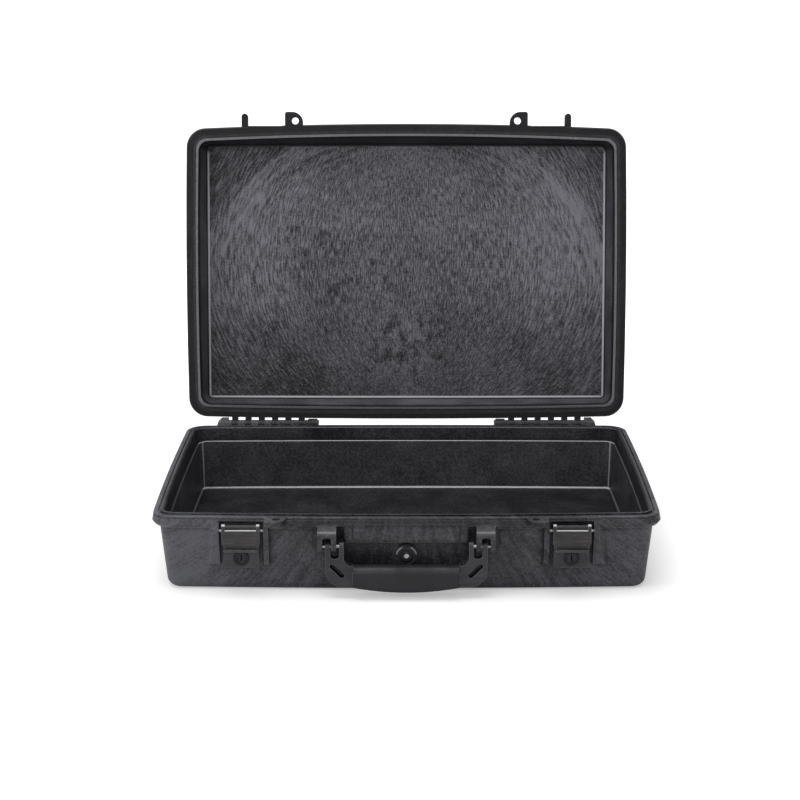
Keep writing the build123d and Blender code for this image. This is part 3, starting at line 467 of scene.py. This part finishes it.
# edges pale from rubbed wear and painted highlight, with the hoods' painted highlight lines
worn_and_highlit = blend_colours(tree, maths(tree, "MAXIMUM", wear_highlight_and_shade["Mask"], hood_highlight), plain, base_worn_and_highlit)

# painted highlight lines on the tray's inner bevels and corners
to_the_front = rise(tree, faces_front, *front_facing)
below_rim = sloped(tree, rise(tree, spot["Z"], *no_bevel_above), -0.9, 1.0)
bevel = all_of(tree, band_between(tree, facing["Z"], *bevel_facing), to_the_front, below_rim)
corner = all_of(tree, band_between(tree, size_of(tree, facing["X"]), *corner_facing), to_the_front,
                rise(tree, spot["Z"], *below_ledge))
tray_highlight = times(tree, sloped(tree, corner, 0.5, bevel), inside)
feed(tree, surface.inputs["Base Color"], blend_colours(tree, tray_highlight, worn_and_highlit, base_tray_highlight))
shine = maths(tree, "MAXIMUM", wear_highlight_and_shade["Mask"], tray_highlight)
rough = sloped(tree, mottle, 0.25, sloped(tree, shine, -0.14, base_roughness))
feed(tree, surface.inputs["Roughness"], rough)
surface.inputs["Specular IOR Level"].default_value = plastic_gloss

from_pad = less(tree, from_middle, pad_middle)
pad = rise(tree, less(tree, pad_half_width, size_of(tree, from_pad)), *pad_edge)
height = sloped(tree, streak, 0.8, maths(tree, "ADD", grain["Height"], speckle))
normal = relief(tree, height, grain_depth, wear_highlight_and_shade["Soft Normal"])
feed(tree, surface.inputs["Normal"], relief(tree, times(tree, pad, on_front), pad_thickness, normal))
dress(["base_shell"], base_plastic)


# ---------------------------------------------------------------- lid shell
# The upper half comes from the same plastic, filled through a gate low in its wide flat panel. The
# melt fanned up and round from there, and left hair-fine streaks, a pale bow and a blush at the gate.

lid_dark = (0.005, 0.005, 0.0065, 1)
lid_pale = (0.196, 0.196, 0.222, 1)
# the pale of worn edges with their painted highlight, the cove's painted highlight and the lip's
# painted highlight
lid_worn_and_highlit = (0.160, 0.160, 0.176, 1)
lid_cove_highlight = (0.380, 0.380, 0.400, 1)
lid_lip_highlight = (0.205, 0.205, 0.222, 1)
lid_gloss = 0.20
lid_speckles_per_metre = 520
clouds_per_metre = 15
blotches_per_metre = 62
lid_roughness = 0.47
panel_tone_range = (-0.20, 1.20)

# the lid stands open, so its places are told up from the hinge line, and deep from its rim
lid_hinge_line = (0, 0.1745, 0.080)
lid_lean = math.radians(10)
up_the_lid = (0, math.sin(lid_lean), math.cos(lid_lean))
into_the_lid = (0, math.cos(lid_lean), -math.sin(lid_lean))
lid_middle = 0.165
panel_depth = (0.0245, 0.0275)
shadow_depth = (0.0265, 0.0305)
lip_depth = (-0.0004, -0.0009)
off_the_rim = (0.003, 0.010)
under_top_wall = (0.312, 0.318)
below_top_wall = (0.317, 0.310)
hinge_wall = (0.045, 0.025)
rim_above_hinges = (0.010, 0.050)
lip_above_hinges = (0.006, 0.030)
panel_facing = (0.955, 0.985)
cove_facing = (0.20, 0.35, 0.94, 0.975)
wall_facing = (-0.35, -0.20, 0.20, 0.35)
back_facing = (-0.60, -0.90)
lip_facing = (0.5, 0.8)
facing_inside = (-0.005, -0.020)

# the melt ran from below the gate towards a point above the lid, and its last front left the bow
flow_source = -0.0297
flow_sink = 0.4087
lid_marks_round = 98.0
lid_marks_up = 11.5
gate_height = 0.088
blush_reach = (0.020, 0.085)
blush_cut = (0.50, 0.62)
bloom_reach = (0.005, 0.055)
bloom_cut = (0.52, 0.40)
bow_centre = 0.112
bow_heights = (0.10, 0.20)
bow_band = (0.222, 0.238, 0.243, 0.251)
beyond_bow = (0.243, 0.256)
arc_band = (0.19, 0.22, 0.25, 0.262)
arcs_out = 210.0
arcs_round = 2.6
# where the panel's painted shade low down and its painted light at the sides lie
low_heights = (0.035, 0.175)
low_corner_width = (0.02, 0.14)
dark_row_heights = (0.12, 0.16, 0.21, 0.25)
dark_row_cut = (0.50, 0.66)
pale_side_width = (0.09, 0.17)
pale_side_heights = (0.08, 0.17, 0.26, 0.34)


def along(tree, vector, direction):
    """How far a place or a normal reaches along a direction."""
    reach = add_node(tree, "VectorMath", [(0, vector), (1, direction)], operation="DOT_PRODUCT")
    return reach.outputs["Value"]


def dim(tree, tone, shares):
    """Take each mark's share off a tone."""
    for share, mark in shares:
        tone = times(tree, tone, sloped(tree, mark, -share, 1.0))
    return tone


lid_plastic, tree, surface, here = new_material("lid_plastic")
grain = use_group(tree, tool_grain, Place=here["Object"], Grain_Scale=plastic_grain_per_metre)
wear_highlight_and_shade = use_group(tree, edge_wear_and_highlight, Place=here["Object"], Width=0.0007, Patchiness=0.5)
from_hinge = add_node(tree, "VectorMath", [(0, here["Object"]), (1, lid_hinge_line)],
                      operation="SUBTRACT").outputs[0]
up = along(tree, from_hinge, up_the_lid)
deep = along(tree, from_hinge, into_the_lid)
side = parts_of(tree, here["Object"])["X"]
from_middle = size_of(tree, side)
faces_out = turned_round(tree, along(tree, here["Normal"], into_the_lid))
faces_side = parts_of(tree, here["Normal"])["X"]
faces_up = along(tree, here["Normal"], up_the_lid)
outward = sloped(tree, faces_side, side, times(tree, faces_up, less(tree, up, lid_middle)))
inner_wall = rise(tree, outward, *facing_inside)

in_the_lid = rise(tree, deep, *panel_depth)
panel = times(tree, rise(tree, faces_out, *panel_facing), in_the_lid)
off_the_panel = rest_of(tree, panel)
cove = all_of(tree, band_between(tree, faces_out, *cove_facing), in_the_lid,
              rise(tree, up, *below_top_wall))
cove_shade = all_of(tree, rise(tree, deep, *shadow_depth), band_between(tree, faces_out, *wall_facing),
                     inner_wall)
top_wall_shade = times(tree, rise(tree, up, *under_top_wall), inner_wall)
above_hinges = times(tree, rise(tree, up, *hinge_wall), inner_wall)
shell_back = rise(tree, faces_out, *back_facing)
lip_highlight = times(tree, rise(tree, deep, *lip_depth), rise(tree, faces_out, *lip_facing))

from_source = less(tree, up, flow_source)
to_sink = less(tree, flow_sink, up)
bend = maths(tree, "ADD", maths(tree, "ARCTAN2", side, from_source),
             maths(tree, "ARCTAN2", side, to_sink))
ratio = maths(tree, "DIVIDE", distance(tree, side, from_source), distance(tree, side, to_sink))
run = maths(tree, "LOGARITHM", ratio, math.e)
marks = use_group(tree, flow_marks, Across=times(tree, bend, lid_marks_round),
                  Along=times(tree, run, lid_marks_up))
streak = less(tree, marks["Streak"], streak_mean)
patch = less(tree, marks["Patch"], noise_mean)
speckle = less(tree, noise(tree, here["Object"], lid_speckles_per_metre, 2, 0.6), noise_mean)
mottle = less(tree, grain["Mottle"], noise_mean)
clouds = less(tree, noise(tree, here["Object"], clouds_per_metre, 4, 0.6), noise_mean)
blotch = noise(tree, here["Object"], blotches_per_metre, 4, 0.6)

low_part = rest_of(tree, rise(tree, up, *low_heights))
low_corner_shade = times(tree, low_part, rise(tree, from_middle, *low_corner_width))
calm = rest_of(tree, times(tree, low_part, 0.45))
above_bow = less(tree, up, bow_centre)
from_bow = distance(tree, side, above_bow)
upper = rise(tree, up, *bow_heights)
bow = times(tree, band_between(tree, from_bow, *bow_band), upper)
past_bow = times(tree, rise(tree, from_bow, *beyond_bow), upper)
round_bow = maths(tree, "ARCTAN2", side, above_bow)
arc_place = add_node(tree, "CombineXYZ", [("X", times(tree, from_bow, arcs_out)),
                                          ("Y", times(tree, round_bow, arcs_round))]).outputs[0]
arcs = all_of(tree, less(tree, noise(tree, arc_place, 1.0, 3, 0.65), noise_mean), upper,
              band_between(tree, from_bow, *arc_band))
from_gate = distance(tree, side, less(tree, up, gate_height))
blush = times(tree, rise(tree, blotch, *blush_cut), rest_of(tree, rise(tree, from_gate, *blush_reach)))
bloom = times(tree, rise(tree, blotch, *bloom_cut), rest_of(tree, rise(tree, from_gate, *bloom_reach)))
dark_row = times(tree, rise(tree, blotch, *dark_row_cut), band_between(tree, up, *dark_row_heights))
lit_sides = times(tree, rise(tree, from_middle, *pale_side_width),
                   band_between(tree, up, *pale_side_heights))

tone = sloped(tree, mottle, 0.25, 0.45)
tone = shade(tree, tone, [(0.74, times(tree, streak, calm)), (0.45, patch), (1.3, speckle)])
# painted light and shade on the panel: paler towards the right and at the sides, darker low down and in
# its lower corners
tone = shade(tree, tone, [(0.55, clouds), (0.25, side), (1.5, arcs), (0.14, bow), (-0.18, past_bow)])
tone = shade(tree, tone, [(-0.18, low_part), (-0.07, low_corner_shade), (-0.28, blush), (0.24, bloom)])
tone = shade(tree, tone, [(-0.17, dark_row), (0.16, lit_sides)])
panel_tone = rise(tree, tone, *panel_tone_range)

wall_tone = times(tree, rise(tree, up, *rim_above_hinges), 0.04)
wall_tone = shade(tree, wall_tone, [(0.30, rise(tree, deep, *off_the_rim)), (0.10, above_hinges),
                                    (0.6, mottle), (0.4, speckle)])
# painted shade: a dark line on the walls beside the cove, in crevices and under the top wall
wall_tone = dim(tree, rise(tree, wall_tone, 0.0, 1.0),
                [(0.9, cove_shade), (0.5, wear_highlight_and_shade["Crevice Shade"]), (0.75, top_wall_shade)])
wall_tone = shade(tree, wall_tone, [(0.35, times(tree, shell_back, less(tree, panel_tone, 0.5)))])
all_tone = maths(tree, "ADD", times(tree, panel_tone, panel), times(tree, wall_tone, off_the_panel))
plain = blend_colours(tree, all_tone, lid_dark, lid_pale)
# edges off the panel pale from rubbed wear and painted highlight
worn_and_highlit = blend_colours(tree, times(tree, wear_highlight_and_shade["Mask"], off_the_panel), plain, lid_worn_and_highlit)
# painted highlight along the lid's lip, grainy and stronger up from the hinges
lip_highlight = all_of(tree, lip_highlight, sloped(tree, rise(tree, up, *lip_above_hinges), 0.60, 0.12),
             sloped(tree, speckle, 1.5, 0.9))
lip_highlit = blend_colours(tree, lip_highlight, worn_and_highlit, lid_lip_highlight)
# painted highlight along the cove between the lid's floor and its walls
feed(tree, surface.inputs["Base Color"], blend_colours(tree, cove, lip_highlit, lid_cove_highlight))
rough = shade(tree, sloped(tree, cove, -0.14, lid_roughness), [(0.2, mottle), (0.3, cove_shade)])
feed(tree, surface.inputs["Roughness"], rough)
surface.inputs["Specular IOR Level"].default_value = lid_gloss
height = sloped(tree, times(tree, streak, panel), 1.4, grain["Height"])
feed(tree, surface.inputs["Normal"], relief(tree, height, grain_depth, wear_highlight_and_shade["Soft Normal"]))
dress(["lid_shell"], lid_plastic)


# ---------------------------------------------------------------- lid gasket
# A solid cord of black rubber pressed into the groove round the lid, where the base's tongue bites
# into it. It is dull, and a little dust clings to it. The vent's ring is of the same rubber.

rubber_dark = (0.010, 0.010, 0.010, 1)
rubber_dusty = (0.040, 0.039, 0.038, 1)
rubber_roughness = 0.68
dust_per_metre = 90
dust_cut = (0.42, 0.75)
skin_per_metre = 1800
skin_depth = 0.00005

seal_rubber, tree, surface, here = new_material("seal_rubber")
dust = rise(tree, noise(tree, here["Object"], dust_per_metre, 5, 0.7), *dust_cut)
feed(tree, surface.inputs["Base Color"], blend_colours(tree, dust, rubber_dark, rubber_dusty))
feed(tree, surface.inputs["Roughness"], sloped(tree, dust, 0.15, rubber_roughness))
skin = noise(tree, here["Object"], skin_per_metre, 2, 0.5)
soft = use_group(tree, edge_wear_and_highlight, Place=here["Object"], Width=0.0004, Patchiness=0.5)
feed(tree, surface.inputs["Normal"], relief(tree, skin, skin_depth, soft["Soft Normal"]))
dress(["lid_gasket", "vent_o_ring"], seal_rubber)


# ---------------------------------------------------------------- pins
# Every pivot turns on a ground stainless rod, cut to length and pushed into its bores from the side.
# Grinding leaves fine rings round the rod, and a trace of oil leaves soft smears over them.

steel_grey = (0.16, 0.16, 0.165, 1)
steel_bright = (0.60, 0.60, 0.61, 1)
steel_roughness = 0.24
rings_per_metre = 5200.0
ring_depth = 0.00001
smears_per_metre = 240

ground_steel, tree, surface, here = new_material("ground_steel")
down_the_rod = times(tree, parts_of(tree, here["Object"])["X"], rings_per_metre)
rings = add_node(tree, "TexNoise", [("W", down_the_rod), ("Scale", 1.0), ("Detail", 2)],
                 noise_dimensions="1D").outputs["Fac"]
smear = noise(tree, here["Object"], smears_per_metre, 3, 0.6)
ground = times(tree, rings, smear)
feed(tree, surface.inputs["Base Color"], blend_colours(tree, ground, steel_grey, steel_bright))
feed(tree, surface.inputs["Roughness"], sloped(tree, smear, 0.2, steel_roughness))
surface.inputs["Metallic"].default_value = 1.0
soft = use_group(tree, edge_wear_and_highlight, Place=here["Object"], Width=0.0002, Patchiness=0.5)
feed(tree, surface.inputs["Normal"], relief(tree, rings, ring_depth, soft["Soft Normal"]))
dress([name for name in nodes if "_pin_" in name], ground_steel)


# ---------------------------------------------------------------- latch levers
# Each lever is a stiff glass-filled nylon moulding on a pin between two ribs of the base. Nylon comes
# out darker and glossier than the shell. Its edges are pale, partly from thumbs and partly painted
# highlight, and its crevices carry painted shade.

lever_dark = (0.006, 0.006, 0.007, 1)
lever_pale = (0.050, 0.050, 0.057, 1)
nylon_worn_and_highlit = (0.220, 0.220, 0.232, 1)
nylon_gloss = 0.40
nylon_grain_per_metre = 1700
nylon_grain_depth = 0.00006
scuffs_per_metre = (60, 500, 900)
scuff_cut = (0.52, 0.74)


def nylon(name, dark, pale, roughness, wear_width, scuff_turn, gloss=nylon_gloss):
    """Glass-filled nylon with fine scuffs that run one way, edges pale from rubbing and painted
    highlight, and painted shade in its crevices.
    """
    material, tree, surface, here = new_material(name)
    grain = use_group(tree, tool_grain, Place=here["Object"], Grain_Scale=nylon_grain_per_metre)
    wear_highlight_and_shade = use_group(tree, edge_wear_and_highlight, Place=here["Object"], Width=wear_width, Patchiness=0.45)
    laid = add_node(tree, "Mapping", [("Vector", here["Object"]), ("Rotation", (0, scuff_turn, 0)),
                                      ("Scale", scuffs_per_metre)]).outputs[0]
    scuff = rise(tree, noise(tree, laid, 1.0, 3, 0.6), *scuff_cut)
    mottle = less(tree, grain["Mottle"], noise_mean)
    tone = sloped(tree, scuff, 0.5, maths(tree, "ADD", mottle, 0.40))
    # painted shade in crevices; below, edges pale from rubbed wear and painted highlight
    tone = rise(tree, sloped(tree, wear_highlight_and_shade["Crevice Shade"], -0.4, tone), 0.0, 1.0)
    plain = blend_colours(tree, tone, dark, pale)
    feed(tree, surface.inputs["Base Color"], blend_colours(tree, wear_highlight_and_shade["Mask"], plain, nylon_worn_and_highlit))
    rough = shade(tree, roughness, [(0.2, mottle), (0.12, scuff)])
    feed(tree, surface.inputs["Roughness"], rough)
    height = sloped(tree, scuff, 0.5, grain["Height"])
    feed(tree, surface.inputs["Normal"], relief(tree, height, nylon_grain_depth, wear_highlight_and_shade["Soft Normal"]))
    surface.inputs["Specular IOR Level"].default_value = gloss
    return material


lever_nylon = nylon("lever_nylon", lever_dark, lever_pale, roughness=0.40, wear_width=0.0006,
                    scuff_turn=0.0)
dress(["latch_lever_left", "latch_lever_right"], lever_nylon)


# ---------------------------------------------------------------- latch claws
# The claw is a second nylon plate on a pin in the top of the lever. It swings up over the lid's
# keeper. The upper edges of its bar and its eyes carry a painted highlight.

claw_dark = (0.007, 0.006, 0.006, 1)
claw_pale = (0.060, 0.055, 0.056, 1)
claw_highlight = (0.50, 0.50, 0.51, 1)
highlight_facing = (0.40, 0.70)
highlight_heights = (0.062, 0.064)
eye_heights = (0.0750, 0.0765)


def paint_highlight_over(material, mask_for, colour):
    """Lay a painted highlight colour over a material, where a mask of its own coordinates says."""
    tree = material.node_tree
    base_colour = tree.nodes["Principled BSDF"].inputs["Base Color"]
    mask = mask_for(tree, add_node(tree, "TexCoord").outputs)
    feed(tree, base_colour, blend_colours(tree, mask, base_colour.links[0].from_socket, colour))
    return material


def claw_top_highlight(tree, here):
    """Painted highlight on the claw's upward edges as it hangs: the bar under its slot, less on the
    tops of its eyes.
    """
    high = parts_of(tree, here["Object"])["Z"]
    faces_up = parts_of(tree, here["Normal"])["Z"]
    upper_edges = times(tree, rise(tree, faces_up, *highlight_facing), rise(tree, high, *highlight_heights))
    return dim(tree, upper_edges, [(0.7, rise(tree, high, *eye_heights))])


claw_nylon = nylon("claw_nylon", claw_dark, claw_pale, roughness=0.34, wear_width=0.0009,
                   scuff_turn=0.06)
dress(["latch_claw_left", "latch_claw_right"], paint_highlight_over(claw_nylon, claw_top_highlight, claw_highlight))


# ---------------------------------------------------------------- key locks
# A cast zinc barrel, blackened, holds a turned plug with a keyway. A nut clamps the barrel from
# behind, and a plated cam on the plug's tail turns behind a catch on the wall.

black_zinc_dark = (0.006, 0.006, 0.007, 1)
black_zinc_pale = (0.013, 0.013, 0.015, 1)
plug_dark = (0.005, 0.005, 0.006, 1)
plug_pale = (0.065, 0.065, 0.070, 1)
plated_dark = (0.30, 0.30, 0.29, 1)
plated_pale = (0.58, 0.58, 0.56, 1)
scratch_turn = 0.7
scratches_per_metre = (300, 900, 2600)
scratch_cut = (0.58, 0.72)
stain_cut = (0.35, 0.75)
stain_depth = 0.00004


def cast_metal(name, dark, pale, metallic, roughness, stains_per_metre):
    """Metal with soft stains and fine scratches, pale along its edges from rubbing and painted
    highlight.
    """
    material, tree, surface, here = new_material(name)
    wear_highlight_and_shade = use_group(tree, edge_wear_and_highlight, Place=here["Object"], Width=0.0004, Patchiness=0.4)
    stain = noise(tree, here["Object"], stains_per_metre, 4, 0.65)
    laid = add_node(tree, "Mapping", [("Vector", here["Object"]), ("Rotation", (0, scratch_turn, 0)),
                                      ("Scale", scratches_per_metre)]).outputs[0]
    scratch = rise(tree, noise(tree, laid, 1.0, 2, 0.5), *scratch_cut)
    tone = shade(tree, rise(tree, stain, *stain_cut), [(0.35, scratch), (0.7, wear_highlight_and_shade["Mask"])])
    tone = rise(tree, tone, 0.0, 1.2)
    feed(tree, surface.inputs["Base Color"], blend_colours(tree, tone, dark, pale))
    feed(tree, surface.inputs["Roughness"], sloped(tree, stain, 0.2, roughness))
    surface.inputs["Metallic"].default_value = metallic
    surface.inputs["Specular IOR Level"].default_value = plastic_gloss
    feed(tree, surface.inputs["Normal"], relief(tree, stain, stain_depth, wear_highlight_and_shade["Soft Normal"]))
    return material


black_zinc = cast_metal("black_zinc", black_zinc_dark, black_zinc_pale, metallic=0.15,
                        roughness=0.40, stains_per_metre=420)
plug_zinc = cast_metal("plug_zinc", plug_dark, plug_pale, metallic=0.35,
                       roughness=0.34, stains_per_metre=700)
plated_steel = cast_metal("plated_steel", plated_dark, plated_pale, metallic=1.0,
                          roughness=0.30, stains_per_metre=300)
dress(["lock_barrel_left", "lock_barrel_right"], black_zinc)
dress(["lock_plug_left", "lock_plug_right"], plug_zinc)
dress([name for name in nodes if name.startswith(("lock_cam", "lock_nut"))], plated_steel)


# ---------------------------------------------------------------- carry handle
# The frame is one nylon moulding with a forked arm at each end and a core bar between them. A softer
# grip is moulded round the bar, and hands keep its top a little polished.

frame_dark = (0.006, 0.006, 0.007, 1)
frame_pale = (0.045, 0.045, 0.052, 1)
grip_dark = (0.008, 0.008, 0.009, 1)
grip_polished = (0.032, 0.032, 0.037, 1)
grip_roughness = 0.58
stipples_per_metre = 900
stipple_depth = 0.00008
polish_per_metre = 45
handled_cut = (0.30, 0.70)
palm_facing = (-0.2, 0.8)

frame_nylon = nylon("frame_nylon", frame_dark, frame_pale, roughness=0.38, wear_width=0.0008,
                    scuff_turn=0.8)
dress(["handle_frame"], frame_nylon)

grip_rubber, tree, surface, here = new_material("grip_rubber")
stipple = add_node(tree, "TexVoronoi", [("Vector", here["Object"]), ("Scale", stipples_per_metre)],
                   feature="F1")
handled = noise(tree, here["Object"], polish_per_metre, 5, 0.65)
faces_up = parts_of(tree, here["Normal"])["Z"]
polish = times(tree, rise(tree, faces_up, *palm_facing), rise(tree, handled, *handled_cut))
wear_highlight_and_shade = use_group(tree, edge_wear_and_highlight, Place=here["Object"], Width=0.0008, Patchiness=0.5)
tone = sloped(tree, handled, 0.4, times(tree, polish, 0.6))
feed(tree, surface.inputs["Base Color"], blend_colours(tree, tone, grip_dark, grip_polished))
feed(tree, surface.inputs["Roughness"], sloped(tree, polish, -0.16, grip_roughness))
stippled = relief(tree, stipple.outputs["Distance"], stipple_depth, wear_highlight_and_shade["Soft Normal"])
feed(tree, surface.inputs["Normal"], stippled)
surface.inputs["Specular IOR Level"].default_value = plastic_gloss
dress(["handle_grip"], grip_rubber)


# ---------------------------------------------------------------- pressure vent
# A nylon stem goes through the front wall, with a rubber ring under its flange and a nut inside. A
# notched cap snaps over a white porous membrane that lets air through, and not water.

vent_dark = (0.004, 0.004, 0.005, 1)
vent_pale = (0.014, 0.014, 0.017, 1)
# the cap's painted highlight, and below, where it lies on the cap's edge
vent_cap_highlight = (0.25, 0.25, 0.265, 1)
vent_gloss = 0.22
vent_height = 0.0393
cap_edge = (0.0092, 0.0098, 0.0104, 0.0108)
shoulder_width = (0.0030, 0.0050)
shoulder_height = (0.0010, 0.0035)
membrane_white = (0.93, 0.93, 0.92, 1)
membrane_pores = (0.78, 0.78, 0.77, 1)
membrane_roughness = 0.92
pores_per_metre = 2600
pore_cut = (0.40, 0.66)
pore_depth = 0.00003


def cap_shoulder_highlights(tree, here):
    """Painted highlight on the two upper quarters of the cap's round edge."""
    spot = parts_of(tree, here["Object"])
    above_centre = less(tree, spot["Z"], vent_height)
    edge = band_between(tree, distance(tree, spot["X"], above_centre), *cap_edge)
    return all_of(tree, edge, rise(tree, size_of(tree, spot["X"]), *shoulder_width),
                  rise(tree, above_centre, *shoulder_height))


vent_nylon = nylon("vent_nylon", vent_dark, vent_pale, roughness=0.42, wear_width=0.0004,
                   scuff_turn=0.4, gloss=vent_gloss)
cap_nylon = nylon("cap_nylon", vent_dark, vent_pale, roughness=0.30, wear_width=0.0005,
                  scuff_turn=1.1, gloss=vent_gloss)
dress(["vent_body", "vent_nut"], vent_nylon)
dress(["vent_cap"], paint_highlight_over(cap_nylon, cap_shoulder_highlights, vent_cap_highlight))

membrane, tree, surface, here = new_material("porous_membrane")
pores = rise(tree, noise(tree, here["Object"], pores_per_metre, 4, 0.7), *pore_cut)
feed(tree, surface.inputs["Base Color"], blend_colours(tree, pores, membrane_pores, membrane_white))
feed(tree, surface.inputs["Roughness"], sloped(tree, pores, -0.1, membrane_roughness))
feed(tree, surface.inputs["Normal"], relief(tree, pores, pore_depth))
dress(["vent_membrane"], membrane)
